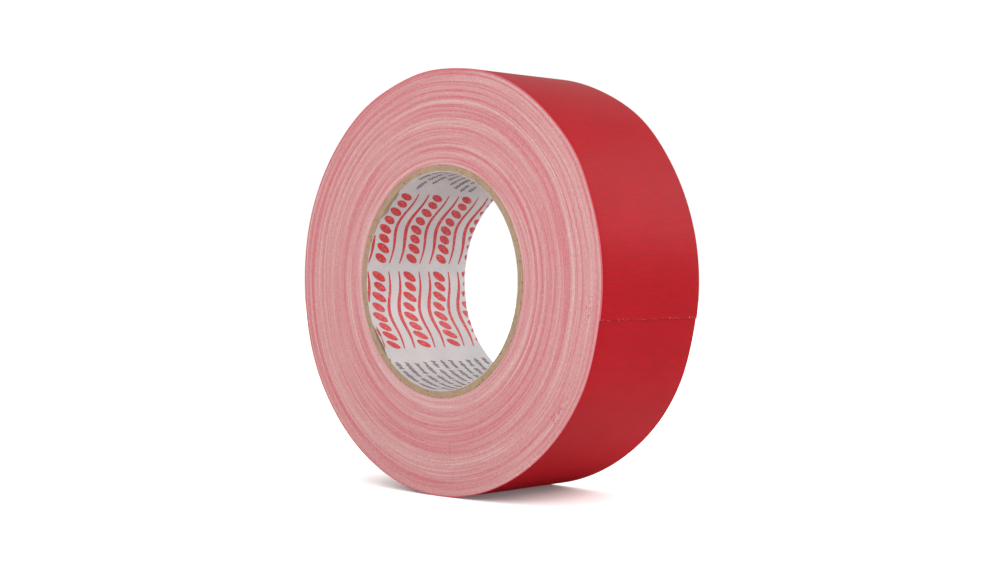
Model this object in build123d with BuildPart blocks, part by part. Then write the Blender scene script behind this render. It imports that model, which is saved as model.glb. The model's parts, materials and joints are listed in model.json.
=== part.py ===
from build123d import *
from math import cos, degrees, pi, radians, sin, sqrt
import os

# A full roll of cloth-backed tape standing on its rim, in millimetres.
# The roll's axis lies along Y and +Z is up. The origin is on the axis, at half the tape's width.
# Seen from the front (looking along +Y) the tape winds clockwise, over the top and down the +X side,
# where its free end lies. Angles are in degrees from +X towards +Z.

# ---- driving dimensions -------------------------------------------------------------------------
TAPE_WIDTH = 50.0
TAPE_LENGTH = 50000.0
ROLL_RADIUS = 75.0  # the last turn, measured at its cut end

COATING = 0.07  # polyethylene skin, the outer face
CLOTH = 0.10  # woven cotton scrim
ADHESIVE = 0.08  # rubber adhesive, the inner face
TAPE_THICKNESS = COATING + CLOTH + ADHESIVE

BORE_RADIUS = 38.1  # the usual three-inch core
LINER = 0.2  # printed paper that faces the bore
PLY = 0.4  # each middle ply of core board
PLY_COUNT = 5
OUTER_PLY = 0.3  # smooth paper that the first turn sticks to
SEAM_GAP = 0.3  # each ply is one strip wound as a helix, and its edges don't quite meet
SEAM_PITCH = 138.0  # how far along the axis a ply's seam moves in one turn
SEAM_STAGGER = 52.0  # degrees from one ply's seam to the next one's
SEAM_START = 95.0  # degrees, where the liner's seam meets the front face

CUT_ANGLE = -10.0  # where the free end was cut off
FREE_LENGTH = 32.0  # how much of the free end has been worked loose
FREE_SEGMENTS = 4  # rigid lengths that stand for the loose strip as it curls
FREE_LIFT = 0.05  # how far the loose end stands off the turn beneath
HINGE_GAP = 0.08  # between one length and the next
TOOTH_PITCH = 1.0  # pinking along the cut
TOOTH_DEPTH = 0.5

STAND_WIDTH = 5.0  # the roll's own weight presses its lowest line flat to this width

# ---- worked out from them -----------------------------------------------------------------------
CORE_RADIUS = BORE_RADIUS + LINER + PLY_COUNT * PLY + OUTER_PLY
QUARTER_STEP = TAPE_THICKNESS / 4
CUT_DIRECTION = Vector(cos(radians(CUT_ANGLE)), 0, sin(radians(CUT_ANGLE)))
FREE_ANGLE = degrees(FREE_LENGTH / ROLL_RADIUS)
SEGMENT_ANGLE = FREE_ANGLE / FREE_SEGMENTS
HALF_GAP_ANGLE = degrees(HINGE_GAP / 2 / ROLL_RADIUS)
UPPER_RADIUS = ROLL_RADIUS - QUARTER_STEP  # the last turn's radius over the top
LOWER_RADIUS = ROLL_RADIUS - 3 * QUARTER_STEP  # and under the bottom
STAND_HEIGHT = sqrt(LOWER_RADIUS**2 - (STAND_WIDTH / 2) ** 2) + QUARTER_STEP * CUT_DIRECTION.Z

LAYERS = {  # the laminate: depth of each layer's outer and inner face below the tape's outer face
    "adhesive": (COATING + CLOTH, TAPE_THICKNESS),
    "cloth": (COATING, COATING + CLOTH),
    "coating": (0.0, COATING),
}

os.makedirs("parts", exist_ok=True)


def write(builder, name):
    """Label a finished piece and write it as its own STEP file."""
    builder.part.label = name
    export_step(builder.part, f"parts/{name}.step")


# ---- the core: paper strips wound as helices, one over another ------------------------------------
def core_layer(name, inner_radius, thickness, seam_angle):
    """One paper tube of the core, open along its slanting butt seam."""
    overrun = 2.0  # the seam's cut goes on past both faces
    with BuildPart() as layer:
        with BuildSketch(Plane.XZ):
            Circle(inner_radius + thickness)
            Circle(inner_radius, mode=Mode.SUBTRACT)
        extrude(amount=TAPE_WIDTH / 2, both=True)
        with BuildLine() as seam:
            Helix(
                SEAM_PITCH,
                TAPE_WIDTH + 2 * overrun,
                inner_radius + thickness / 2,
                center=(0, -TAPE_WIDTH / 2 - overrun, 0),
                direction=(0, 1, 0),
            )
        # As made, the helix starts above the axis, and it turns clockwise on its way to the back.
        made_at = 90.0 - 360.0 * overrun / SEAM_PITCH
        path = seam.line.rotate(Axis.Y, made_at - seam_angle)
        start = path @ 0
        outward = Vector(start.X, 0, start.Z).normalized()
        with BuildSketch(Plane(origin=start, x_dir=outward, z_dir=path % 0)):
            Rectangle(3 * thickness, SEAM_GAP)
        sweep(path=path, is_frenet=True, mode=Mode.SUBTRACT)
    write(layer, name)


core_layer("core_liner", BORE_RADIUS, LINER, SEAM_START)
for number in range(1, PLY_COUNT + 1):
    core_layer(
        f"core_ply_{number}",
        BORE_RADIUS + LINER + (number - 1) * PLY,
        PLY,
        SEAM_START + number * SEAM_STAGGER,
    )
core_layer(
    "core_outer_ply",
    CORE_RADIUS - OUTER_PLY,
    OUTER_PLY,
    SEAM_START + (PLY_COUNT + 1) * SEAM_STAGGER,
)


# ---- the tape -------------------------------------------------------------------------------------
def turn_curve(depth, start=0.0):
    """One turn of the spiral, from `start` degrees above the cut, back round to the cut.

    Two arcs with centres a quarter of the thickness either side of the axis bring the
    radius in by one thickness over the turn.
    """
    shift = QUARTER_STEP * Vector(CUT_DIRECTION.X, CUT_DIRECTION.Z)
    first = CenterArc(shift, UPPER_RADIUS - depth, CUT_ANGLE + start, 180.0 - start)
    second = CenterArc(-shift, LOWER_RADIUS - depth, CUT_ANGLE + 180.0, 180.0)
    return first @ 0, second @ 1


# All the turns under the last one. The outer face is a spiral with a step where it meets itself.
with BuildPart() as tape_winding:
    with BuildSketch(Plane.XZ):
        with BuildLine():
            high, low = turn_curve(TAPE_THICKNESS)
            Line(low, high)
        make_face()
        Circle(CORE_RADIUS, mode=Mode.SUBTRACT)
    extrude(amount=TAPE_WIDTH / 2, both=True)
write(tape_winding, "tape_winding")

# The last turn, as far as the loose end, in the three layers of its laminate.
for layer_name, (outer_depth, inner_depth) in LAYERS.items():
    with BuildPart() as turn:
        with BuildSketch(Plane.XZ):
            with BuildLine():
                outer_start, outer_end = turn_curve(outer_depth, FREE_ANGLE + HALF_GAP_ANGLE)
                inner_start, inner_end = turn_curve(inner_depth, FREE_ANGLE + HALF_GAP_ANGLE)
                Line(outer_start, inner_start)
                Line(outer_end, inner_end)
            make_face()
        extrude(amount=TAPE_WIDTH / 2, both=True)
        split(bisect_by=Plane.XY.offset(-STAND_HEIGHT), keep=Keep.TOP)
    write(turn, f"outer_turn_{layer_name}")


# ---- the loose end --------------------------------------------------------------------------------
def free_arc(depth, start, end):
    """An arc of the loose end between two angles above the cut."""
    shift = QUARTER_STEP * Vector(CUT_DIRECTION.X, CUT_DIRECTION.Z)
    return CenterArc(shift, UPPER_RADIUS + FREE_LIFT - depth, CUT_ANGLE + start, end - start)


# The waste beyond the zigzag cut, drawn on the plane that touches the roll at the cut.
tip = Plane(origin=ROLL_RADIUS * CUT_DIRECTION, x_dir=(0, 1, 0), z_dir=CUT_DIRECTION)
zigzag = [(-TAPE_WIDTH / 2, -1.0), (-TAPE_WIDTH / 2, 0.0)]
for tooth in range(round(TAPE_WIDTH / TOOTH_PITCH)):
    left = -TAPE_WIDTH / 2 + tooth * TOOTH_PITCH
    zigzag.append((left + TOOTH_PITCH / 2, TOOTH_DEPTH))
    zigzag.append((left + TOOTH_PITCH, 0.0))
zigzag.append((TAPE_WIDTH / 2, -1.0))
with BuildPart() as pinking:
    with BuildSketch(tip):
        with BuildLine():
            Polyline(*zigzag, close=True)
        make_face()
    extrude(amount=1.0, both=True)

for number in range(1, FREE_SEGMENTS + 1):
    upper = FREE_ANGLE - (number - 1) * SEGMENT_ANGLE - HALF_GAP_ANGLE
    is_tip = number == FREE_SEGMENTS
    lower = 0.0 if is_tip else FREE_ANGLE - number * SEGMENT_ANGLE + HALF_GAP_ANGLE
    for layer_name, (outer_depth, inner_depth) in LAYERS.items():
        with BuildPart() as segment:
            with BuildSketch(Plane.XZ):
                with BuildLine():
                    outer = free_arc(outer_depth, lower, upper)
                    inner = free_arc(inner_depth, lower, upper)
                    Line(outer @ 0, inner @ 0)
                    Line(outer @ 1, inner @ 1)
                make_face()
            extrude(amount=TAPE_WIDTH / 2, both=True)
            if is_tip:
                add(pinking.part, mode=Mode.SUBTRACT)
        write(segment, f"free_end_{number}_{layer_name}")


# ---- what the dimensions give ---------------------------------------------------------------------
wound_area = pi * (ROLL_RADIUS**2 - CORE_RADIUS**2)
print(f"tape that fits: {wound_area / TAPE_THICKNESS / 1000:.1f} m of {TAPE_LENGTH / 1000:.0f} m")
print(f"turns: {(ROLL_RADIUS - CORE_RADIUS) / TAPE_THICKNESS:.1f}")
for number in range(FREE_SEGMENTS):
    angle = radians(CUT_ANGLE + FREE_ANGLE - number * SEGMENT_ANGLE)
    outward = Vector(cos(angle), 0, sin(angle))
    hinge = QUARTER_STEP * CUT_DIRECTION + (UPPER_RADIUS + FREE_LIFT) * outward
    print(f"hinge {number + 1}: x {hinge.X:.4f} z {hinge.Z:.4f}")
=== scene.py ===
import json
import math

import bpy
import numpy as np
from mathutils import Matrix, Vector


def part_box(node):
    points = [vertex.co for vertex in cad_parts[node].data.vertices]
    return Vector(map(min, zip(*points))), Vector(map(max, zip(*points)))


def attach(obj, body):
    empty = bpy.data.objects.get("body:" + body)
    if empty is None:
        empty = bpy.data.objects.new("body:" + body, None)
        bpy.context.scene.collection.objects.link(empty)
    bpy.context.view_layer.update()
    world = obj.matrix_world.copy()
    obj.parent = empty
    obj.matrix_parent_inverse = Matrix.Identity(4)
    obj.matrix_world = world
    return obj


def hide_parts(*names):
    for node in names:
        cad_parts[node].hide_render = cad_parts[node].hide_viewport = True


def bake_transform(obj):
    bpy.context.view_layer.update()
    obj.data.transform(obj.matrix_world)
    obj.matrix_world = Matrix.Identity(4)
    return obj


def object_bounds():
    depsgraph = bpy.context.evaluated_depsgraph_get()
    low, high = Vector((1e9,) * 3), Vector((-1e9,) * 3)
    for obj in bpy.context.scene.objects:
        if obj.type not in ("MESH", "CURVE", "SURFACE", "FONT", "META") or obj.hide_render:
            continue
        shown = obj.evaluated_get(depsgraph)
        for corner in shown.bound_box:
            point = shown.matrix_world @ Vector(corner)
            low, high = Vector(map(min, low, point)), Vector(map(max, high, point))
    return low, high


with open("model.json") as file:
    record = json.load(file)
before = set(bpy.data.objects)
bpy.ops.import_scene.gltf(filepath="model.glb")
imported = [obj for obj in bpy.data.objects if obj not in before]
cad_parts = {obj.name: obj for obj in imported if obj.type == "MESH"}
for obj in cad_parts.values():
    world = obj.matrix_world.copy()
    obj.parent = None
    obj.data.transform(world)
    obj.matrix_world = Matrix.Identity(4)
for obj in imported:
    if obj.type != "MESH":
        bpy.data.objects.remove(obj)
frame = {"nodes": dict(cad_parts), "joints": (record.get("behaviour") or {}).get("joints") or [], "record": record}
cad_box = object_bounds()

# A roll of red cloth-backed tape on a printed paper core, standing on its rim. The roll's axis is Y,
# its front face is at the lower Y, and +Z is up. Lengths are in metres. Seen from the front the tape
# winds clockwise, and its free end lies on the +X side. Angles go from +X towards +Z.

MM = 0.001
TAU = 2 * math.pi

# ---- sizes, from the CAD frame ----------------------------------------------------------------------
MOUNTS = {mount["name"]: mount for mount in frame["record"]["mounts"]}
HINGES = [Vector(joint["pos_m"]) for joint in frame["joints"]]
HALF_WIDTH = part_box("core_liner")[1].y
BORE_RADIUS = MOUNTS["core_bore"]["dims"]["r_mm"] * MM
CORE_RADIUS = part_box("core_outer_ply")[1].x
FLOOR_Z = cad_box[0].z
FREE_LIFT = 0.05 * MM  # how far the loose end stands off the turn beneath
ROLL_RADIUS = HINGES[-1].length - FREE_LIFT  # at the cut
CUT_ANGLE = math.radians(-10.0)
FREE_ANGLE = math.atan2(HINGES[0].z, HINGES[0].x) - CUT_ANGLE  # from the cut up to the first hinge
SEGMENT_ANGLE = FREE_ANGLE / len(HINGES)

# ---- the tape ---------------------------------------------------------------------------------------
LAYERS = {  # depth of each layer's outer and inner face below the tape's outer face
    "coating": (0.0, 0.07 * MM),
    "cloth": (0.07 * MM, 0.17 * MM),
    "adhesive": (0.17 * MM, 0.25 * MM),
}
TAPE_THICKNESS = LAYERS["adhesive"][1]
QUARTER_STEP = TAPE_THICKNESS / 4  # the spiral's two arcs have their centres this far off the axis
WEFT_PITCH = 0.77 * MM  # from one cross thread of the cloth to the next
WEFT_RELIEF = 0.014 * MM  # how far the threads print through the coating
SAG_RELIEF = 0.006 * MM  # how far the coating sags between broader unevennesses of the cloth
SAG_LENGTH = 4 * MM  # how long those are, along the tape
SAG_COLUMNS = 6  # and how many there are from the middle to an edge
TURN_BENEATH = math.radians(1.6)  # how far the next turn goes on under the start of the last one
TOOTH_PITCH = 1.0 * MM  # pinking along the cut
TOOTH_DEPTH = 0.5 * MM

# Where the winding swells or lies flat: angle at the front, angle at the back and half-width in
# degrees, then the rise at the front and at the back in mm.
SWELLS = (
    (106.0, 106.0, 9.0, -0.95, -0.30),
    (84.0, 84.0, 9.0, -1.05, 0.0),
    (31.0, 48.0, 8.0, 0.72, 0.72),
    (158.0, 158.0, 11.0, 0.32, 0.32),
    (184.0, 184.0, 8.0, -0.25, -0.25),
    (206.0, 206.0, 8.0, 0.25, 0.25),
    (322.0, 322.0, 9.0, 0.0, 0.30),
    (330.0, 330.0, 17.0, 0.75, 0.65),
)
FREE_END_CENTRE = 2.0  # degrees, about the middle of the loose end, which the swells stay clear of
FREE_END_CLEAR = (13.0, 30.0)  # degrees from there between which they come in
SHOULDER = 0.6 * MM  # the slit edges of the last turns are pressed down over this width
SHOULDER_DROP = 0.10 * MM
LIP_DEPTH = 0.24 * MM  # slitting drags the coating down over the edges of the cloth and adhesive
LIP_THICKNESS = 0.05 * MM


def smooth_noise(rows, columns, row_blur, column_blur, seed, per_row=0.0):
    """Seeded noise of unit deviation that wraps round both ways, blurred by so many rows and columns.

    It comes back about as often as `per_row` says, down the rows.
    """
    noise = np.random.default_rng(seed).standard_normal((rows, columns))
    row_gain = np.exp(-2 * (math.pi * row_blur * (np.abs(np.fft.fftfreq(rows)) - per_row)) ** 2)
    column_gain = np.exp(-2 * (math.pi * column_blur * np.fft.fftfreq(columns)) ** 2)
    noise = np.fft.ifft2(np.fft.fft2(noise) * row_gain[:, None] * column_gain[None, :]).real
    return (noise - noise.mean()) / noise.std()


def sample(noise, row, column):
    """The value of wrapped noise at places between its points."""
    row = np.asarray(row, float) % noise.shape[0]
    column = np.asarray(column, float) % noise.shape[1]
    row_0, column_0 = np.floor(row).astype(int), np.floor(column).astype(int)
    row_part, column_part = row - row_0, column - column_0
    row_0, column_0 = row_0 % noise.shape[0], column_0 % noise.shape[1]
    row_1, column_1 = (row_0 + 1) % noise.shape[0], (column_0 + 1) % noise.shape[1]
    upper = noise[row_0, column_0] * (1 - column_part) + noise[row_0, column_1] * column_part
    lower = noise[row_1, column_0] * (1 - column_part) + noise[row_1, column_1] * column_part
    return upper * (1 - row_part) + lower * row_part


def ease(value, low, high):
    """0 below low, 1 above high, and a smooth step between."""
    share = np.clip((value - low) / (high - low), 0, 1)
    return share * share * (3 - 2 * share)


def degrees_from(angle, centre):
    """How many degrees an angle in radians lies from a centre in degrees, between -180 and 180."""
    return (np.degrees(angle) - centre + 180) % 360 - 180


def out_of_round(angle, radius, y):
    """How far the tape stands out from its true spiral, which grows from nothing at the core."""
    along = (y + HALF_WIDTH) / (2 * HALF_WIDTH)
    rise = 0.0
    for front, back, width, front_rise, back_rise in SWELLS:
        away = degrees_from(angle, front + (back - front) * along)
        height = (front_rise + (back_rise - front_rise) * along) * MM
        rise = rise + height * np.exp(-(away**2) / (2 * width**2))
    clear_of_free_end = ease(np.abs(degrees_from(angle, FREE_END_CENTRE)), *FREE_END_CLEAR)
    share = np.clip((radius - CORE_RADIUS) / (ROLL_RADIUS - CORE_RADIUS), 0, 1)
    edge = np.clip(1 - (HALF_WIDTH - np.abs(y)) / SHOULDER, 0, 1)
    return rise * share * clear_of_free_end - SHOULDER_DROP * edge**2 * share**6


def tape_point(turned, depth, y):
    """Points of the tape, turned past the cut by an angle, at a depth below its outer face.

    Past a full turn the angle goes on to the next turn, one thickness further in.
    """
    turn = np.floor(turned / TAU)
    first_half = turned - turn * TAU < math.pi
    angle = CUT_ANGLE + turned
    radius = ROLL_RADIUS - np.where(first_half, 1, 3) * QUARTER_STEP - depth - turn * TAPE_THICKNESS
    radius = radius + out_of_round(angle, radius, y)
    shift = np.where(first_half, 1, -1) * QUARTER_STEP
    x = shift * math.cos(CUT_ANGLE) + radius * np.cos(angle)
    z = shift * math.sin(CUT_ANGLE) + radius * np.sin(angle)
    return np.stack(np.broadcast_arrays(x, y, np.maximum(z, FLOOR_Z)), axis=-1)


# ---- meshes -----------------------------------------------------------------------------------------
SHARP_ANGLE = math.radians(38.0)


def faces_of_sweep(stations, count, ring):
    """Faces that join each cross-section of a sweep to the next, with a cap at both open ends."""
    station = np.arange(stations if ring else stations - 1)[:, None]
    point = np.arange(count)[None, :]
    after, beside = (station + 1) % stations, (point + 1) % count
    corners = (
        station * count + point,
        after * count + point,
        after * count + beside,
        station * count + beside,
    )
    faces = np.stack(np.broadcast_arrays(*corners), axis=-1).reshape(-1, 4).tolist()
    if not ring:
        faces.append(list(range(count)))
        faces.append(list(range(stations * count - 1, (stations - 1) * count - 1, -1)))
    return faces


def is_inside_out(points, faces):
    """Whether the quads of a closed mesh enclose a negative volume."""
    quads = points[np.array([face for face in faces if len(face) == 4])]
    volume = np.einsum("ij,ij->i", quads[:, 0], np.cross(quads[:, 1], quads[:, 2])).sum()
    volume += np.einsum("ij,ij->i", quads[:, 0], np.cross(quads[:, 2], quads[:, 3])).sum()
    return volume < 0


def mesh_piece(name, points, faces, material, attributes):
    """An object from points and faces, with an attribute at each point for its material to read."""
    if is_inside_out(points, faces):
        faces = [face[::-1] for face in faces]
    mesh = bpy.data.meshes.new(name)
    mesh.from_pydata(points.tolist(), [], faces)
    for attribute, values in attributes.items():
        kind, field = ("FLOAT_VECTOR", "vector") if values.ndim == 2 else ("FLOAT", "value")
        layer = mesh.attributes.new(attribute, kind, "POINT")
        layer.data.foreach_set(field, values.astype(np.float32).ravel())
    mesh.shade_smooth()
    mesh.set_sharp_from_angle(angle=SHARP_ANGLE)
    mesh.materials.append(material)
    piece = bpy.data.objects.new(name, mesh)
    bpy.context.scene.collection.objects.link(piece)
    return piece


def sweep(name, sections, material, attributes, ring=False):
    """A closed piece through cross-sections, an array of (station, point, xyz)."""
    stations, count = sections.shape[:2]
    flat = {}
    for attribute, values in attributes.items():
        flat[attribute] = values.reshape(-1, 3) if values.ndim == 3 else values.ravel()
    faces = faces_of_sweep(stations, count, ring)
    return mesh_piece(name, sections.reshape(-1, 3), faces, material, flat)


def many_sweeps(name, all_sections, material, tones):
    """One piece from many small sweeps, each with its own tone."""
    points, faces, tone = [], [], []
    start = 0
    for sections, value in zip(all_sections, tones):
        stations, count = sections.shape[:2]
        own = faces_of_sweep(stations, count, ring=False)
        if is_inside_out(sections.reshape(-1, 3) - sections[0, 0], own):
            own = [face[::-1] for face in own]
        points.append(sections.reshape(-1, 3))
        faces += [[corner + start for corner in face] for face in own]
        tone.append(np.full(stations * count, value))
        start += stations * count
    return mesh_piece(name, np.concatenate(points), faces, material, {"tone": np.concatenate(tone)})


# ---- materials --------------------------------------------------------------------------------------
def colour(red, green, blue):
    """A linear colour from sRGB values between 0 and 255."""
    srgb = np.array([red, green, blue]) / 255
    linear = np.where(srgb <= 0.04045, srgb / 12.92, ((srgb + 0.055) / 1.055) ** 2.4)
    return (*linear.tolist(), 1.0)


def grey(value):
    return (value, value, value, 1.0)


def principled(name, roughness, ior):
    """A new material: its node tree and its shader."""
    material = bpy.data.materials.new(name)
    material.use_nodes = True
    shader = material.node_tree.nodes["Principled BSDF"]
    shader.inputs["Roughness"].default_value = roughness
    shader.inputs["IOR"].default_value = ior
    return material, material.node_tree, shader


def node(tree, kind, inputs, **settings):
    """A shader node whose inputs are numbers, colours or other nodes' outputs."""
    made = tree.nodes.new(kind)
    for setting, value in settings.items():
        setattr(made, setting, value)
    for socket, value in inputs.items():
        if isinstance(value, bpy.types.NodeSocket):
            tree.links.new(value, made.inputs[socket])
        else:
            made.inputs[socket].default_value = value
    return made


def attribute(tree, name, output):
    return node(tree, "ShaderNodeAttribute", {}, attribute_name=name).outputs[output]


def stretched(tree, vector, along, across, inward):
    """A vector whose three parts are multiplied by their own scales."""
    inputs = {0: vector, 1: (along, across, inward)}
    return node(tree, "ShaderNodeVectorMath", inputs, operation="MULTIPLY").outputs[0]


def clouds(tree, vector, detail=2.0, roughness=0.5):
    inputs = {"Vector": vector, "Scale": 1.0, "Detail": detail, "Roughness": roughness}
    return node(tree, "ShaderNodeTexNoise", inputs).outputs["Fac"]


def maths(tree, operation, first, second):
    return node(tree, "ShaderNodeMath", {0: first, 1: second}, operation=operation).outputs[0]


def ramp(tree, factor, stops):
    """A colour from a factor, by (position, colour) stops."""
    made = node(tree, "ShaderNodeValToRGB", {"Fac": factor})
    elements = made.color_ramp.elements
    while len(elements) < len(stops):
        elements.new(0.5)
    for element, (position, value) in zip(elements, stops):
        element.position = position
        element.color = value
    return made.outputs["Color"]


def blended(tree, factor, first, second, how="MIX"):
    """Two colours mixed by a factor."""
    made = node(tree, "ShaderNodeMix", {}, data_type="RGBA", blend_type=how)
    for socket, value in ((0, factor), (6, first), (7, second)):
        if isinstance(value, bpy.types.NodeSocket):
            tree.links.new(value, made.inputs[socket])
        else:
            made.inputs[socket].default_value = value
    return made.outputs[2]


def bump(tree, shader, height, distance, strength=1.0):
    inputs = {"Height": height, "Distance": distance, "Strength": strength}
    made = node(tree, "ShaderNodeBump", inputs)
    tree.links.new(made.outputs["Normal"], shader.inputs["Normal"])


def paint(tree, shader, value):
    tree.links.new(value, shader.inputs["Base Color"])


def spread(tree, factor, low, high, lowest=0.0, highest=1.0):
    """A factor between its lowest and highest values brought between two others."""
    inputs = {"Value": factor, "From Min": lowest, "From Max": highest, "To Min": low, "To Max": high}
    return node(tree, "ShaderNodeMapRange", inputs).outputs["Result"]


def coating_material():
    """Matt polyethylene with the cloth's cross threads showing through, with painted shade in the grooves between
    them, paler along its slit edges.
    """
    material, tree, shader = principled("red_polyethylene", 0.42, 1.17)
    grain = attribute(tree, "grain", "Vector")
    broad = clouds(tree, stretched(tree, grain, 45, 28, 0), detail=3.0)
    fine = clouds(tree, stretched(tree, grain, 2600, 900, 0), detail=2.0)
    threads = clouds(tree, stretched(tree, grain, 1300, 260, 0), detail=1.0)
    base = ramp(tree, broad, ((0.3, colour(156, 9, 20)), (0.7, colour(162, 13, 25))))
    # painted shade: the colour is darkened where the weave attribute is low, in the grooves between cross threads
    painted_groove_shade = ramp(tree, attribute(tree, "weave", "Fac"), ((0.0, grey(0.87)), (0.7, grey(1.01))))
    shade = ramp(tree, threads, ((0.3, grey(0.94)), (0.7, grey(1.05))))
    base = blended(tree, 1.0, base, painted_groove_shade, "MULTIPLY")
    base = blended(tree, 1.0, base, shade, "MULTIPLY")
    base = blended(tree, attribute(tree, "wear", "Fac"), base, colour(200, 98, 108))
    paint(tree, shader, base)
    tree.links.new(spread(tree, fine, 0.36, 0.5), shader.inputs["Roughness"])
    bump(tree, shader, fine, 0.012 * MM)
    return material


def cloth_material():
    """Bleached cotton, stained a little by the coating."""
    material, tree, shader = principled("cotton_cloth", 0.9, 1.45)
    grain = attribute(tree, "grain", "Vector")
    fibre = clouds(tree, stretched(tree, grain, 3500, 3500, 3500), detail=3.0)
    stops = ((0.3, colour(206, 150, 146)), (0.65, colour(238, 214, 206)))
    paint(tree, shader, ramp(tree, fibre, stops))
    bump(tree, shader, fibre, 0.04 * MM)
    return material


def adhesive_material():
    """Natural rubber adhesive, beige and slightly uneven."""
    material, tree, shader = principled("rubber_adhesive", 0.35, 1.52)
    grain = attribute(tree, "grain", "Vector")
    smear = clouds(tree, stretched(tree, grain, 350, 350, 350), detail=3.0)
    stops = ((0.3, colour(196, 160, 138)), (0.7, colour(214, 184, 160)))
    paint(tree, shader, ramp(tree, smear, stops))
    tree.links.new(spread(tree, smear, 0.28, 0.45), shader.inputs["Roughness"])
    bump(tree, shader, smear, 0.03 * MM)
    return material


def winding_material():
    """The cut edges of many turns: red coating, white threads and pale adhesive, in streaks."""
    material, tree, shader = principled("cut_tape_edges", 0.78, 1.45)
    grain = attribute(tree, "grain", "Vector")
    fuzz = clouds(tree, stretched(tree, grain, 1, 1, 2600), detail=3.0, roughness=0.6)
    flecks = clouds(tree, stretched(tree, grain, 9, 9, 900), detail=2.0)
    speckle = clouds(tree, stretched(tree, grain, 2.4, 2.4, 1700), detail=2.0)
    mixed = maths(tree, "ADD", attribute(tree, "streak", "Fac"), spread(tree, fuzz, -0.22, 0.22))
    mixed = maths(tree, "ADD", mixed, spread(tree, flecks, -0.2, 0.2))
    mixed = maths(tree, "ADD", mixed, spread(tree, speckle, -0.25, 0.25))
    stops = (
        (0.0, colour(211, 64, 80)),
        (0.12, colour(205, 91, 103)),
        (0.24, colour(190, 110, 114)),
        (0.42, colour(193, 128, 130)),
        (0.62, colour(197, 143, 143)),
        (0.85, colour(202, 162, 160)),
        (1.0, colour(210, 188, 182)),
    )
    paint(tree, shader, ramp(tree, mixed, stops))
    bump(tree, shader, fuzz, 0.05 * MM)
    return material


def thread_material():
    """Loose thread ends, from red to white by their tone."""
    material, tree, shader = principled("cut_threads", 0.9, 1.45)
    stops = ((0.0, colour(190, 40, 46)), (0.45, colour(218, 140, 140)), (1.0, colour(240, 226, 218)))
    tone = attribute(tree, "tone", "Fac")
    ends = clouds(tree, node(tree, "ShaderNodeTexCoord", {}).outputs["Object"], detail=1.0)
    paint(tree, shader, ramp(tree, maths(tree, "ADD", tone, spread(tree, ends, -0.05, 0.05)), stops))
    return material


def round_axis(tree):
    """A place on the roll, and the same as (x, z, distance from the axis less its y)."""
    place = node(tree, "ShaderNodeTexCoord", {}).outputs["Object"]
    parts = node(tree, "ShaderNodeSeparateXYZ", {0: place}).outputs
    flat = node(tree, "ShaderNodeCombineXYZ", {0: parts[0], 1: parts[2]}).outputs[0]
    distance = node(tree, "ShaderNodeVectorMath", {0: flat}, operation="LENGTH").outputs["Value"]
    inward = maths(tree, "SUBTRACT", distance, parts[1])
    return place, node(tree, "ShaderNodeCombineXYZ", {0: parts[0], 1: parts[2], 2: inward}).outputs[0]


def board_material(name, low, high):
    """Kraft board: paper layers that run round the core, mottled, with a few dark flecks."""
    material, tree, shader = principled(name, 0.85, 1.45)
    place, around = round_axis(tree)
    fibres = clouds(tree, stretched(tree, around, 420, 420, 3000), detail=4.0, roughness=0.6)
    mottle = clouds(tree, stretched(tree, place, 160, 160, 160), detail=2.0)
    specks = clouds(tree, stretched(tree, place, 1500, 1500, 1500), detail=0.0)
    base = ramp(tree, fibres, ((0.3, low), (0.7, high)))
    shade = ramp(tree, mottle, ((0.3, grey(0.93)), (0.7, grey(1.04))))
    base = blended(tree, 1.0, base, shade, "MULTIPLY")
    fleck = ramp(tree, specks, ((0.18, grey(1.0)), (0.24, grey(0.0))))
    paint(tree, shader, blended(tree, fleck, base, colour(92, 66, 48)))
    bump(tree, shader, fibres, 0.06 * MM)
    return material


def paper_material():
    """White printing paper on the inside of the core, a little glossy and dusty."""
    material, tree, shader = principled("liner_paper", 0.55, 1.5)
    grain = attribute(tree, "grain", "Vector")
    mottle = clouds(tree, stretched(tree, grain, 90, 90, 90), detail=3.0)
    fibres = clouds(tree, stretched(tree, grain, 1400, 700, 1400), detail=3.0, roughness=0.6)
    base = ramp(tree, mottle, ((0.3, colour(183, 178, 179)), (0.7, colour(196, 191, 191))))
    shade = ramp(tree, fibres, ((0.3, grey(0.96)), (0.7, grey(1.03))))
    paint(tree, shader, blended(tree, 1.0, base, shade, "MULTIPLY"))
    bump(tree, shader, fibres, 0.02 * MM)
    return material


def ink_material(name, thin, full):
    """Printing ink, thinner in places."""
    material, tree, shader = principled(name, 0.5, 1.5)
    place = node(tree, "ShaderNodeTexCoord", {}).outputs["Object"]
    cover = clouds(tree, stretched(tree, place, 1100, 1100, 1100), detail=3.0, roughness=0.6)
    paint(tree, shader, ramp(tree, cover, ((0.32, thin), (0.5, full))))
    return material


COATING = coating_material()
CLOTH = cloth_material()
ADHESIVE = adhesive_material()
WINDING = winding_material()
THREADS = thread_material()
BOARD = board_material("kraft_board", colour(146, 121, 96), colour(175, 149, 122))
OUTER_BOARD = board_material("smooth_kraft", colour(140, 114, 88), colour(167, 142, 115))
LINER_PAPER = paper_material()
RED_INK = ink_material("red_ink", colour(204, 92, 92), colour(186, 34, 38))
GREY_INK = ink_material("grey_ink", colour(98, 92, 94), colour(46, 43, 46))
TAPE_MATERIALS = {"coating": COATING, "cloth": CLOTH, "adhesive": ADHESIVE}


# ---- the tape's own strip: the last turn and the loose end ------------------------------------------
WEFTS = round(ROLL_RADIUS * TAU / WEFT_PITCH)
WEFT_NOISE = smooth_noise(WEFTS, 64, 0.3, 1.3, seed=11)
WEAVE_COLUMNS = 24  # columns of its noise from the middle to an edge
SAG_NOISE = smooth_noise(120, 24, 2.5, 2.0, seed=12)
TOOTH_NOISE = smooth_noise(120, 1, 0.6, 0.0, seed=21)
TOOTH_UNEVENNESS = 0.05 * MM


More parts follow.
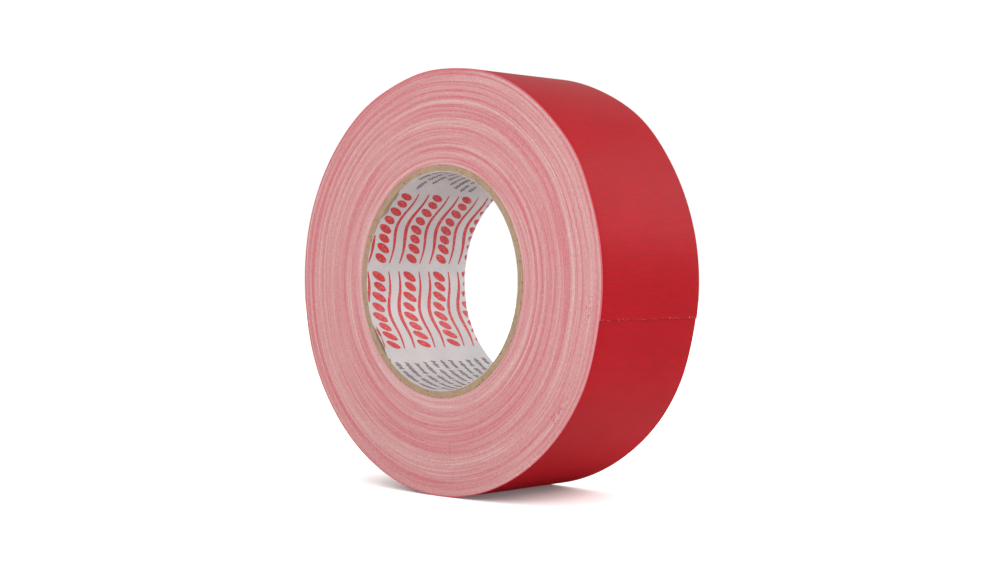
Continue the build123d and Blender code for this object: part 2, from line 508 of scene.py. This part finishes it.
def weave_height(arc, y):
    """How high the cloth stands under the coating: 0 in a groove, about 1 on a cross thread."""
    thread = np.round(arc / WEFT_PITCH)
    across = (y / HALF_WIDTH + 1) * WEAVE_COLUMNS
    wave = 0.5 + 0.5 * np.cos(TAU * arc / WEFT_PITCH)
    return wave * (0.65 + 0.35 * np.tanh(1.2 * sample(WEFT_NOISE, thread, across)))


def strip_profile(layer, rows):
    """The (depth, y) points round a layer's cross-section, and which of them are on its outer face."""
    outer, inner = LAYERS[layer]
    has_lip = layer == "coating"
    reach = HALF_WIDTH if has_lip else HALF_WIDTH - LIP_THICKNESS
    bevel = 0.2 * (inner - outer)
    edge = np.array([-reach, -reach + bevel, -reach + SHOULDER / 5, -reach + SHOULDER / 2])
    middle = np.linspace(-reach + SHOULDER, reach - SHOULDER, rows)
    y_out = np.concatenate([edge, middle, -edge[::-1]])
    depth_out = np.full(y_out.size, outer)
    depth_out[[0, -1]] = outer + bevel
    inside = HALF_WIDTH - LIP_THICKNESS
    y_in = np.array([inside, 0.4 * inside, -0.4 * inside, -inside])
    depth_in = np.full(y_in.size, inner)
    if has_lip:
        y_in = np.concatenate([[HALF_WIDTH, inside], y_in, [-inside, -HALF_WIDTH]])
        depth_in = np.concatenate([[LIP_DEPTH] * 2, depth_in, [LIP_DEPTH] * 2])
    depth = np.concatenate([depth_out, depth_in])
    return depth, np.concatenate([y_out, y_in]), np.arange(depth.size) < y_out.size


def strip(name, layer, start, end, rows=18, per_weft=4, lifted=False, teeth=None):
    """A length of one layer of the tape, between two angles past the cut."""
    depth, y, on_face = strip_profile(layer, rows)
    stations = max(round(abs(end - start) * ROLL_RADIUS / WEFT_PITCH * per_weft), 2) + 1
    share = np.linspace(0, 1, stations)[:, None]
    limit = start if teeth is None else teeth(y)[None, :]
    turned = end + (limit - end) * share
    arc = turned * ROLL_RADIUS
    height = weave_height(arc, y[None, :])
    sag = sample(SAG_NOISE, arc / SAG_LENGTH, (y[None, :] / HALF_WIDTH + 1) * SAG_COLUMNS)
    relief = WEFT_RELIEF * (1 - height) + SAG_RELIEF * (1 - np.tanh(sag))
    sunk = depth[None, :] + np.where(on_face[None, :] & (layer == "coating"), relief, 0)
    if lifted:
        sunk = sunk - FREE_LIFT * ease(FREE_ANGLE - turned, 0, SEGMENT_ANGLE / 2)
    points = tape_point(turned, sunk, y[None, :] + 0 * turned)
    grain = np.stack(np.broadcast_arrays(arc, y[None, :], sunk), axis=-1)
    weave = np.where(on_face[None, :], height, 1.0) + 0 * turned
    wear = np.where(np.abs(y) > HALF_WIDTH - 1.2 * LIP_THICKNESS, 1.0, 0.0)[None, :] + 0 * turned
    attributes = {"grain": grain, "weave": weave, "wear": wear}
    return sweep(name, points, TAPE_MATERIALS[layer], attributes)


def on_weft(angle):
    """The angle past the cut of the cross thread nearest to an angle."""
    return round(angle * ROLL_RADIUS / WEFT_PITCH) * WEFT_PITCH / ROLL_RADIUS


def outer_point(angle):
    """A point on the tape's outer face at half its width."""
    return Vector(tape_point(np.array(angle), np.array(0.0), np.array(0.0)).tolist())


def last_turn():
    """The last turn in its three layers. It goes on as the turn beneath the loose end."""
    for layer in LAYERS:
        per_weft = 4 if layer == "coating" else 2
        name = f"last_turn_{layer}"
        piece = strip(name, layer, FREE_ANGLE, TAU + FREE_ANGLE + TURN_BENEATH, per_weft=per_weft)
        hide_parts(f"outer_turn_{layer}")
        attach(piece, "roll")


def pinked_edge(y):
    """The angle past the cut of the zigzag edge, a little uneven from tooth to tooth."""
    tooth = (y + HALF_WIDTH) / TOOTH_PITCH
    zigzag = 1 - np.abs(2 * (tooth % 1) - 1)
    uneven = sample(TOOTH_NOISE, tooth * 2, np.zeros_like(tooth))
    return (TOOTH_DEPTH * zigzag + TOOTH_UNEVENNESS * np.tanh(uneven)) / ROLL_RADIUS


def loose_end():
    """The loose end, in lengths between the middles of its segments, and its pinked tip."""
    middles = [on_weft(FREE_ANGLE - (number + 0.5) * SEGMENT_ANGLE) for number in range(len(HINGES))]
    for layer in LAYERS:
        upper = FREE_ANGLE
        for number, lower in enumerate(middles):
            piece = strip(f"loose_end_{number + 1}_{layer}", layer, lower, upper, lifted=True)
            if number > 0:
                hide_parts(f"free_end_{number}_{layer}")
            outer_point(upper)
            outer_point(lower)
            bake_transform(piece)
            upper = lower
        tip = strip(f"loose_tip_{layer}", layer, 0.0, upper, rows=97, lifted=True, teeth=pinked_edge)
        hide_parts(f"free_end_4_{layer}")
        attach(tip, "free_end_4")


# ---- the turns beneath, cut edges and all ------------------------------------------------------------
ANGLE_STEPS = 180
TURNS = round((ROLL_RADIUS - CORE_RADIUS) / TAPE_THICKNESS) - 1
EDGE_ROWS = 2 * TURNS  # a crest and a groove for each turn
ROW_PITCH = TAPE_THICKNESS / 2
WALL_ROWS = 7

# The streaks of a side face: strength, blur outwards in mm, blur round the roll in degrees, and the
# pitch in mm at which they come back, if they do.
STREAKS = (
    (0.42, 1.20, 46.0, None),
    (0.34, 0.60, 42.0, None),
    (0.52, 0.28, 40.0, None),
    (0.42, 0.28, 9.0, None),
    (0.82, 0.08, 10.0, None),
    (0.34, 0.08, 2.5, None),
    (0.44, 2.60, 40.0, 2.65),
)
FACE_INSET = 0.12 * MM
GROOVE_DEPTH = 0.03 * MM
STREAK_DEPTH = 0.03 * MM
STREAK_TONE = 0.112
LOWEST_TONE = 0.24
HIGHEST_TONE = 0.82
# The outermost turns show their coating: red at the rim, and pink further in round one angle.
RED_RIM = 0.28 * MM
PINK_CENTRE = 108.0
PINK_SPREAD = 26.0
PINK_WIDTH = 1.1 * MM
PINK_ALL_ROUND = 0.25 * MM


def streaks(seed):
    """How the turns' edges vary over one side face: rows from the core outwards, by angle."""
    total = 0.0
    for number, (strength, outwards, round_roll, pitch) in enumerate(STREAKS):
        row_blur = outwards * MM / ROW_PITCH
        column_blur = round_roll * ANGLE_STEPS / 360
        per_row = ROW_PITCH / (pitch * MM) if pitch else 0.0
        noise = smooth_noise(EDGE_ROWS, ANGLE_STEPS, row_blur, column_blur, seed + number, per_row)
        total = total + strength * noise
    return total


def face_relief(pattern):
    """How far each row of a side face lies inside the tape's width, from its streaks."""
    painted_groove_shade = np.where(np.arange(EDGE_ROWS) % 2 == 0, 0.0, GROOVE_DEPTH)[:, None]
    return FACE_INSET + painted_groove_shade - STREAK_DEPTH * np.clip(pattern, -2, 2)


def face_tone(value, radius, angle):
    """The tone of a side face: its streaks, pale bands at the core and the rim, and the red rim."""
    outside = ROLL_RADIUS - TAPE_THICKNESS
    pale = ease(radius, outside - 1.6 * MM, outside - 0.9 * MM)
    pale = np.maximum(pale, 1 - ease(radius, CORE_RADIUS + 2.5 * MM, CORE_RADIUS + 6.5 * MM))
    tone = np.clip(0.5 + STREAK_TONE * value + 0.10 * pale, LOWEST_TONE, HIGHEST_TONE)
    away = degrees_from(angle, PINK_CENTRE)
    top = np.exp(-(away**2) / (2 * PINK_SPREAD**2))
    pink_from = outside - (PINK_ALL_ROUND + PINK_WIDTH * top) * (1 + 0.2 * value)
    pink = ease(radius, pink_from - 0.2 * MM, pink_from + 0.5 * MM)
    tone = tone + (0.28 - 0.08 * top + 0.06 * value - tone) * pink
    red = ease(radius, outside - RED_RIM - 0.1 * MM, outside - RED_RIM)
    return tone + (0.14 + 0.03 * value - tone) * red


def winding_sections():
    """Cross-sections of the wound tape: the front face, the core's side, the back face, the outside."""
    step_at = (FREE_ANGLE + TURN_BENEATH) % TAU
    step_width = math.radians(0.02)
    turned = np.linspace(step_at, step_at + TAU - step_width, ANGLE_STEPS)[:, None]
    row = np.arange(EDGE_ROWS)[None, :]
    share = row / (EDGE_ROWS - 1)
    full_turn = TAPE_THICKNESS * (1 + np.where(turned > TAU, 1, 0))
    outside = ROLL_RADIUS - full_turn - TAPE_THICKNESS * (turned % TAU) / TAU
    radius = CORE_RADIUS + (outside - CORE_RADIUS) * share
    angle = CUT_ANGLE + turned + 0 * radius
    column = np.degrees(turned - step_at) * ANGLE_STEPS / 360
    parts, tones = [], []
    for side, seed in ((-1.0, 31), (1.0, 41)):
        pattern = streaks(seed)
        value = sample(pattern, row + 0 * turned, column + 0 * row)
        inset = sample(face_relief(pattern), row + 0 * turned, column + 0 * row)
        y = side * (HALF_WIDTH - inset)
        full = radius + out_of_round(angle, radius, y)
        parts.append(np.stack([full * np.cos(angle), y, full * np.sin(angle)], axis=-1))
        tones.append(face_tone(value, radius, angle))
    wall_y = np.linspace(HALF_WIDTH, -HALF_WIDTH, WALL_ROWS + 2)[None, 1:-1] + 0 * turned
    wall_angle = CUT_ANGLE + turned + 0 * wall_y
    wall = outside + out_of_round(wall_angle, outside + 0 * wall_y, wall_y)
    parts.append(np.stack([wall * np.cos(wall_angle), wall_y, wall * np.sin(wall_angle)], axis=-1))
    tones.append(np.full(wall_y.shape, 0.3))
    parts[0], tones[0] = parts[0][:, ::-1], tones[0][:, ::-1]
    return np.concatenate(parts, axis=1), np.concatenate(tones, axis=1)


def wound_tape():
    sections, streak = winding_sections()
    radius = np.hypot(sections[..., 0], sections[..., 2])
    angle = np.arctan2(sections[..., 2], sections[..., 0])
    grain = np.stack([40 * np.cos(angle), 40 * np.sin(angle), radius], axis=-1)
    piece = sweep("wound_tape", sections, WINDING, {"streak": streak, "grain": grain}, ring=True)
    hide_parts("tape_winding")
    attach(piece, "roll")


# ---- loose threads ----------------------------------------------------------------------------------
RED_PATCHES = ((316.0, 332.0, 26), (346.0, 358.0, 14))  # from and to, in degrees, and how many
FRAYS = ((305.0, 8.0, 44), (41.0, 3.0, 10))  # centre and spread in degrees, and how many


def strand(start, end, bow, radius):
    """A thin thread from start to end, bowed in the middle, as cross-sections of a sweep."""
    start, end, bow = np.array(start), np.array(end), np.array(bow)
    share = np.linspace(0, 1, 5)[:, None]
    path = start + (end - start) * share + bow * 4 * share * (1 - share)
    along = (end - start) / np.linalg.norm(end - start)
    side = np.cross(along, bow / np.linalg.norm(bow))
    side = side / np.linalg.norm(side)
    up = np.cross(side, along)
    turn = np.arange(4) * TAU / 4
    circle = np.cos(turn)[:, None] * side + np.sin(turn)[:, None] * up
    taper = (1 - 0.6 * share**2)[:, :, None]
    return path[:, None, :] + radius * taper * circle[None, :, :]


def face_strand(random, side, radius, angle, lean, length, thickness):
    """A thread end that lies on a side face, leaning off the way round by an angle."""
    radial = np.array([math.cos(angle), 0, math.sin(angle)])
    tangent = np.array([-math.sin(angle), 0, math.cos(angle)])
    full = radius + float(out_of_round(np.array(angle), radius, side * HALF_WIDTH))
    start = full * radial + np.array([0, side * (HALF_WIDTH - FACE_INSET), 0])
    end = start + length * (math.cos(lean) * tangent + math.sin(lean) * radial)
    end[1] += side * random.uniform(0.0, 0.10) * MM
    bow = np.array([0, side, 0]) * random.uniform(0.05, 0.16) * MM
    return strand(start, end, bow + 0.05 * MM * radial, thickness)


def side_threads():
    """Cut thread ends on both side faces: everywhere, red ones in patches, and frays at the rim."""
    random = np.random.default_rng(51)
    strands, tones = [], []
    for side in (-1.0, 1.0):
        for _ in range(520):
            radius = CORE_RADIUS + (ROLL_RADIUS - CORE_RADIUS - 0.6 * MM) * random.beta(1.6, 1.0)
            angle, lean = random.uniform(0, TAU), random.normal(0, 0.35)
            length, thickness = random.uniform(0.3, 1.3) * MM, random.uniform(0.016, 0.03) * MM
            strands.append(face_strand(random, side, radius, angle, lean, length, thickness))
            tones.append(np.clip(random.normal(0.72, 0.25), 0, 1))
        for low, high, count in RED_PATCHES:
            for _ in range(count):
                radius = ROLL_RADIUS - random.uniform(4.0, 6.2) * MM
                angle, lean = math.radians(random.uniform(low, high)), random.normal(0, 0.5)
                length, thickness = random.uniform(0.3, 1.2) * MM, random.uniform(0.05, 0.10) * MM
                strands.append(face_strand(random, side, radius, angle, lean, length, thickness))
                tones.append(np.clip(random.normal(0.12, 0.06), 0, 1))
        for centre, spread_out, count in FRAYS:
            for _ in range(count):
                radius = ROLL_RADIUS - random.uniform(1.2, 2.4) * MM
                angle = math.radians(random.normal(centre, spread_out))
                lean = random.uniform(1.0, 2.0)
                length, thickness = random.uniform(0.5, 1.3) * MM, random.uniform(0.025, 0.05) * MM
                strands.append(face_strand(random, side, radius, angle, lean, length, thickness))
                tones.append(np.clip(random.normal(0.95, 0.1), 0, 1))
    piece = many_sweeps("cut_thread_ends", strands, THREADS, tones)
    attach(piece, "roll")


def tip_threads():
    """Threads of the cloth that fray from the pinked cut."""
    random = np.random.default_rng(61)
    strands, tones = [], []
    depth = LAYERS["cloth"][0] - FREE_LIFT
    for _ in range(56):
        y = random.uniform(-HALF_WIDTH + 0.5 * MM, HALF_WIDTH - MM)
        edge = float(pinked_edge(np.array([y]))[0])
        start = tape_point(np.array(edge + 0.3 * MM / ROLL_RADIUS), np.array(depth), np.array(y))
        length = random.uniform(0.35, 0.7) * MM
        aside = random.normal(0, 0.25) * MM
        end = tape_point(
            np.array(edge - length / ROLL_RADIUS + 0.3 * MM / ROLL_RADIUS),
            np.array(depth - random.uniform(-0.06, 0.06) * MM),
            np.array(y + aside),
        )
        bow = outer_point(edge).normalized() * random.uniform(0.03, 0.09) * MM
        strands.append(strand(start, end, bow, random.uniform(0.018, 0.03) * MM))
        tones.append(np.clip(random.normal(0.55, 0.3), 0, 1))
    piece = many_sweeps("frayed_cut_threads", strands, THREADS, tones)
    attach(piece, "free_end_4")


# ---- the core ---------------------------------------------------------------------------------------
SEAM_PITCH = 138 * MM  # the liner is a strip wound as a helix, with a slanting butt seam
SEAM_ANGLE = 95.0  # degrees, where its seam meets the front face
SEAM_GAP = 0.3 * MM
TORN_AT = 133.0  # degrees, where the front edge is torn back
NICK_AT = 227.5
LIFTED_AT = 215.0  # degrees, where the front edge leans into the bore
LIFT = 1.0 * MM
LINER_NOISE = smooth_noise(720, 2, 0.8, 0.0, seed=72)
LINER_STATIONS = 721
LINER_ROWS = 46
LINER_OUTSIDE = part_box("core_liner")[1].x


def liner_edges(angle):
    """How far the liner's front and back edges lie inside the tape's width.

    The front edge is torn back to the board over one stretch, and nicked once.
    """
    place = np.degrees(angle) * 2
    ragged = np.clip(sample(LINER_NOISE, place, 0 * place), -2, 2)
    away = np.abs(degrees_from(angle, TORN_AT))
    torn = (1 - ease(away, 6.0, 10.5)) * (1.7 * MM + 0.28 * MM * ragged)
    frayed = 0.25 * MM * (1 - ease(away, 12.0, 26.0)) * (1 + 0.4 * ragged)
    nick = 1.0 * MM * np.exp(-((degrees_from(angle, NICK_AT) / 0.9) ** 2))
    front = 0.06 * MM + 0.03 * MM * ragged + torn + frayed + nick
    back = 0.08 * MM + 0.04 * MM * ragged
    return np.maximum(front, 0), back


def liner_stand_off(angle, y):
    """Where the liner's front edge has come away from the core and leans into the bore."""
    away = degrees_from(angle, LIFTED_AT)
    reach = ease(away, -12.5, -4.0) * (1 - ease(away, 2.0, 13.0))
    ruffle = 0.15 * np.sin(np.radians(away) * 22)
    near_edge = np.clip(1 - (y + HALF_WIDTH) / (7 * MM), 0, 1)
    return LIFT * reach * (1 + ruffle) * near_edge**2


def liner():
    """The printed paper tube, slit along its helical seam, with its worn edges."""
    along = np.linspace(-1, 1, LINER_ROWS) * HALF_WIDTH
    y = np.concatenate([along, along[::-1]])[None, :]
    is_inner = np.arange(2 * LINER_ROWS)[None, :] < LINER_ROWS
    gap = math.degrees(SEAM_GAP / BORE_RADIUS)
    share = np.linspace(0, 1, LINER_STATIONS)[:, None]
    slant = SEAM_ANGLE - 360 * (y + HALF_WIDTH) / SEAM_PITCH
    angle = np.radians(slant + gap / 2 + (360 - gap) * share)
    front, back = liner_edges(angle)
    trimmed = np.minimum(np.maximum(y, -HALF_WIDTH + front), HALF_WIDTH - back)
    radius = np.where(is_inner, BORE_RADIUS, LINER_OUTSIDE) - liner_stand_off(angle, trimmed)
    points = np.stack([radius * np.cos(angle), trimmed, radius * np.sin(angle)], axis=-1)
    grain = np.stack([BORE_RADIUS * angle, trimmed, radius], axis=-1)
    piece = sweep("printed_liner", points, LINER_PAPER, {"grain": grain})
    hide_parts("core_liner")
    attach(piece, "roll")


def board_plies():
    """The board itself stays as it is in CAD, in kraft paper."""
    for name, made in frame["nodes"].items():
        if name.startswith("core_ply") or name == "core_outer_ply":
            made.data.materials.clear()
            made.data.materials.append(OUTER_BOARD if name == "core_outer_ply" else BOARD)


# ---- the liner's print: a plain repeated pattern -----------------------------------------------------
INK = 0.02 * MM
PRINT_MARGIN = 0.1 * MM
PRINT_ROWS = (-19.7, -4.5, 10.7, 25.9)  # y of each row's middle, in mm
RED_STARTS = (123.5, 174.0, 274.5, 325.0)  # degrees, where each red motif starts
RED_SPAN = 46.0  # degrees
LEAVES = 8
LEAF_LENGTHS = (6.4, 5.6)  # in turn, in mm, short enough to stay clear of the stripes
GREY_SPANS = ((229.0, 267.0), (84.0, 117.0), (20.0, 58.0))  # degrees, from and to
GREY_LINES = 11
GREY_FIRST, GREY_PITCH = -22.6, 4.4  # y of the first line, and from each to the next, in mm
TICK_STEP, TICK_LEAN = 1.25, 0.4  # degrees from tick to tick, and half of what each leans
TICK_WIDTH = 0.5 * MM
GROUP_GAP = 1.6  # degrees


def ink_ribbon(arc, y, across, widths):
    """A flat ribbon of ink on the liner, kept off the paper's edges."""
    middle = np.stack([arc, y], axis=-1)
    left, right = middle + across * widths[:, None] / 2, middle - across * widths[:, None] / 2
    flat = np.stack([left, right, right, left], axis=1)
    lift = np.array([INK, INK, -INK, -INK])[None, :]
    front, back = liner_edges(arc / BORE_RADIUS)
    low, high = front + PRINT_MARGIN - HALF_WIDTH, HALF_WIDTH - back - PRINT_MARGIN
    flat[..., 1] = np.clip(flat[..., 1], low[:, None], high[:, None])
    angle = flat[..., 0] / BORE_RADIUS
    radius = BORE_RADIUS - lift - liner_stand_off(angle, flat[..., 1])
    return np.stack([radius * np.cos(angle), flat[..., 1], radius * np.sin(angle)], axis=-1)


def ink_stroke(degrees, y, widths):
    """A printed stroke along angles and y on the liner, cut off where it would leave the paper."""
    arc = np.radians(degrees) * BORE_RADIUS
    run = np.stack([np.gradient(arc), np.gradient(y)], axis=-1)
    run = run / np.linalg.norm(run, axis=-1, keepdims=True)
    across = np.stack([-run[:, 1], run[:, 0]], axis=-1)
    reach = widths / 2 * np.abs(run[:, 0])
    front, back = liner_edges(np.radians(degrees))
    low = np.maximum(y - reach, front + PRINT_MARGIN - HALF_WIDTH)
    high = np.minimum(y + reach, HALF_WIDTH - back - PRINT_MARGIN)
    share = (high - low) / (2 * reach)
    is_along = np.abs(run[:, 0]) > 0.7
    y = np.where(is_along, (low + high) / 2, y)
    widths = np.where(is_along, widths * share, widths)
    kept = share > 0.3
    strokes = []
    for part in np.split(np.arange(y.size), np.flatnonzero(~kept)):
        part = part[kept[part]]
        if part.size > 2:
            strokes.append(ink_ribbon(arc[part], y[part], across[part], widths[part]))
    return strokes


def leaf(middle, y, length, width, lean):
    """A leaning leaf shape."""
    share = np.linspace(-1, 1, 13)
    degrees = middle + np.degrees(lean * length / 2 * share / BORE_RADIUS)
    widths = width * np.sqrt(np.maximum(1 - share**2, 0.02))
    return ink_stroke(degrees, y + length / 2 * share, widths)


def red_motif(start, y):
    """Leaning leaves between two waved stripes, about 31 mm long and 12 mm high."""
    share = np.linspace(0, 1, 5 * LEAVES + 1)
    strokes = []
    wave = 0.9 * MM * np.sin(share * TAU * 1.5)
    for offset, width in ((-5.1 * MM, 1.8 * MM), (5.1 * MM, 1.5 * MM)):
        taper = 0.35 + 0.65 * np.sin(np.pi * share)
        strokes += ink_stroke(start + RED_SPAN * share, y + offset + wave, width * taper)
    for number in range(LEAVES):
        middle = start + RED_SPAN * (number + 0.5) / LEAVES
        length = LEAF_LENGTHS[number % 2] * MM
        strokes += leaf(middle, y + float(wave[5 * number + 2]), length, 2.8 * MM, 0.5)
    return strokes


def grey_lines(start, end, y, random):
    """A line of leaning ticks of uneven length, in groups."""
    strokes, at = [], start + random.uniform(0, 4)
    stop = end - random.uniform(0, 12)
    share = np.linspace(-1, 1, 4)
    while at < stop:
        count = int(random.integers(5, 12))
        for reach in random.uniform(0.55, 1.15, count) * MM:
            widths = np.full(share.size, TICK_WIDTH)
            strokes += ink_stroke(at + TICK_LEAN * share, y + reach * share, widths)
            at += TICK_STEP
        at += GROUP_GAP
    return strokes


def liner_print():
    red, ticks = [], []
    random = np.random.default_rng(91)
    for row in PRINT_ROWS:
        for start in RED_STARTS:
            red += red_motif(start, row * MM)
    for start, end in GREY_SPANS:
        for line in range(GREY_LINES):
            ticks += grey_lines(start, end, (GREY_FIRST + GREY_PITCH * line) * MM, random)
    for name, strokes, material in (("print_red", red, RED_INK), ("print_grey", ticks, GREY_INK)):
        piece = many_sweeps(name, strokes, material, np.ones(len(strokes)))
        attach(piece, "roll")


# ---- studio -----------------------------------------------------------------------------------------
KEY_SIDE = Vector((0.5, -0.3, 0.8)).normalized()  # the walls are brightest this way
WALL_STRENGTH = 1.02
FLOOR_RADIUS = 8.0
FLOOR_THROW = 0.54  # what share of its light the floor throws back at the roll
REFLECTOR_THROW = 0.95  # and what share just right of the barrel and behind the front face


def floor():
    """A wide pale disc under the roll. It throws more light up to the right of the barrel."""
    material, tree, shader = principled("studio_floor", 0.95, 1.2)
    place = node(tree, "ShaderNodeTexCoord", {}).outputs["Object"]
    tint = clouds(tree, stretched(tree, place, 2, 2, 2))
    seen = node(tree, "ShaderNodeLightPath", {}).outputs["Is Camera Ray"]
    pale = ramp(tree, tint, ((0.0, grey(0.9)), (1.0, grey(0.93))))
    x, y, _ = node(tree, "ShaderNodeSeparateXYZ", {0: place}).outputs
    right = spread(tree, x, 0.0, 1.0, lowest=0.0, highest=0.04)
    near = spread(tree, x, 1.0, 0.0, lowest=0.07, highest=0.12)
    behind_face = spread(tree, y, 0.0, 1.0, lowest=-0.03, highest=0.0)
    reflector = maths(tree, "MULTIPLY", maths(tree, "MULTIPLY", right, near), behind_face)
    thrown = blended(tree, reflector, grey(FLOOR_THROW), grey(REFLECTOR_THROW))
    paint(tree, shader, blended(tree, seen, thrown, pale))
    angle = np.linspace(0, TAU, 96, endpoint=False)
    flat = FLOOR_RADIUS * np.cos(angle), FLOOR_RADIUS * np.sin(angle)
    points = np.stack([*flat, np.full(angle.size, FLOOR_Z)], axis=-1)
    mesh = bpy.data.meshes.new("floor")
    mesh.from_pydata(points.tolist(), [], [list(range(angle.size))])
    mesh.materials.append(material)
    made = bpy.data.objects.new("floor", mesh)
    made.visible_glossy = False
    bpy.context.scene.collection.objects.link(made)
    return made


def lamp(name, kind, place, power):
    """A light that faces the roll."""
    light = bpy.data.lights.new(name, kind)
    light.energy = power
    made = bpy.data.objects.new(name, light)
    made.location = place
    made.rotation_euler = (-Vector(place)).to_track_quat("-Z", "Y").to_euler()
    made.visible_camera = False
    bpy.context.scene.collection.objects.link(made)
    return made


def softbox(name, place, size, power):
    made = lamp(name, "AREA", place, power)
    made.data.shape = "SQUARE"
    made.data.size = size


def floor_light(ground):
    """Broad light from above that falls on the floor alone, to bring it up to the walls."""
    made = lamp("floor_light", "SUN", (0, 0, 2), 3.0)
    made.data.angle = math.radians(140)
    lit = bpy.data.collections.new("floor_only")
    lit.objects.link(ground)
    made.light_linking.receiver_collection = lit
    made.light_linking.blocker_collection = lit


def walls():
    """Studio walls that light the roll from above, its right and its front, seen as plain white."""
    world = bpy.data.worlds.new("studio")
    world.use_nodes = True
    tree = world.node_tree
    direction = node(tree, "ShaderNodeTexCoord", {}).outputs["Generated"]
    towards = node(tree, "ShaderNodeVectorMath", {0: direction, 1: KEY_SIDE}, operation="DOT_PRODUCT")
    stops = ((0.0, grey(0.6)), (0.1, grey(0.64)), (0.45, grey(0.87)), (1.0, grey(1.0)))
    above = ramp(tree, towards.outputs["Value"], stops)
    parts = node(tree, "ShaderNodeSeparateXYZ", {0: direction}).outputs
    sideways = spread(tree, parts[0], 0.0, 1.0, lowest=-1.0)
    below = ramp(tree, sideways, ((0.38, grey(0.0)), (0.45, grey(0.76)), (1.0, grey(0.76))))
    height = spread(tree, parts[2], 0.0, 1.0, lowest=-1.0)
    upward = ramp(tree, height, ((0.46, grey(0.0)), (0.54, grey(1.0))))
    shade = blended(tree, upward, below, above)
    seen = node(tree, "ShaderNodeLightPath", {}).outputs["Is Camera Ray"]
    background = tree.nodes["Background"]
    tree.links.new(blended(tree, seen, shade, grey(1.0)), background.inputs["Color"])
    background.inputs["Strength"].default_value = WALL_STRENGTH
    bpy.context.scene.world = world


def studio():
    floor_light(floor())
    walls()
    softbox("side_light", (0.72, 0.94, 0.6), 0.8, 6)
    softbox("front_light", (0.75, -0.75, 0.5), 0.8, 6)
    scene = bpy.context.scene
    scene.view_settings.view_transform = "Standard"
    scene.view_settings.look = "None"


def camera():
    """Level with the roll's axis and to its front right, rolled by a hair, as the photo was fitted."""
    azimuth, elevation, roll = map(math.radians, (44.412, -0.333, -0.286))
    distance, right_shift, up_shift = 536.04 * MM, 3.97 * MM, -0.076 * MM
    back = Vector(
        (
            math.sin(azimuth) * math.cos(elevation),
            -math.cos(azimuth) * math.cos(elevation),
            math.sin(elevation),
        )
    )
    level_right = Vector((0, 0, 1)).cross(back).normalized()
    level_up = back.cross(level_right)
    right = level_right * math.cos(roll) + level_up * math.sin(roll)
    up = level_up * math.cos(roll) - level_right * math.sin(roll)
    data = bpy.data.cameras.new("camera")
    data.lens = 53.62
    data.sensor_width = 36.0
    data.clip_start = 0.01
    data.clip_end = 50.0
    made = bpy.data.objects.new("camera", data)
    turn = Matrix((right, up, back)).transposed().to_4x4()
    made.matrix_world = Matrix.Translation(back * distance + right * right_shift + up * up_shift) @ turn
    bpy.context.scene.collection.objects.link(made)
    bpy.context.scene.camera = made


last_turn()
loose_end()
wound_tape()
side_threads()
tip_threads()
liner()
board_plies()
liner_print()
studio()
camera()
